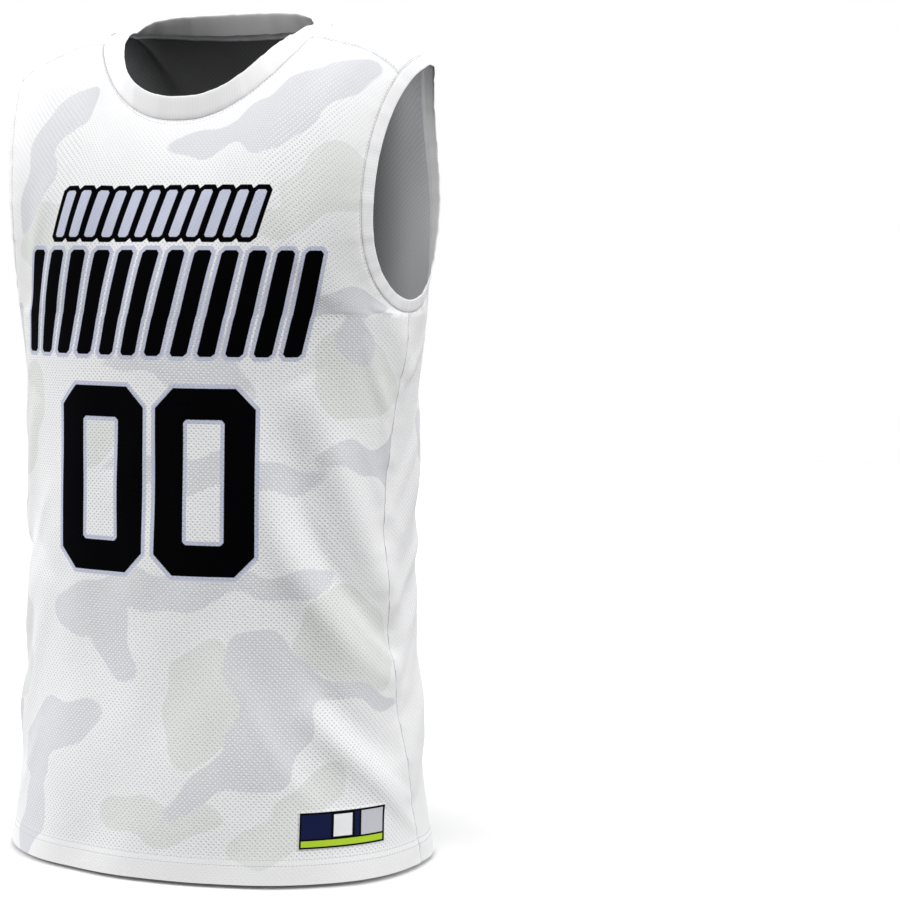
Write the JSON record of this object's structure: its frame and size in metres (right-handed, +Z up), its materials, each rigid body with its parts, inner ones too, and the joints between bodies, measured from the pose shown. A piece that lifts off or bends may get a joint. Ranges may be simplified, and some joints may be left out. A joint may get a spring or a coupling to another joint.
{
  "type": "sleeveless sports jersey",
  "caption": "Sleeveless round-neck jersey in mesh knit, filled out as worn, with narrow neck and armhole bands, forward shoulder seams, a turned-up hem and a small hem label.",
  "frame": {"origin": "on the centre line, level with the two points where the neck seam crosses the shoulder ridge, above the middle of the chest", "axes": "+Z up, the front faces -Y, +X is the wearer's left"},
  "size_m": [0.4364, 0.2772, 0.815],
  "materials": {
    "mesh_knit": "matt",
    "rib_knit": "matt",
    "printed_label": "satin"
  },
  "bodies": {
    "root": {"front_panel": "mesh_knit", "back_panel": "mesh_knit", "neck_band": "rib_knit", "left_armhole_band": "rib_knit", "right_armhole_band": "rib_knit", "hem_label": "printed_label"}
  },
  "joints": []
}
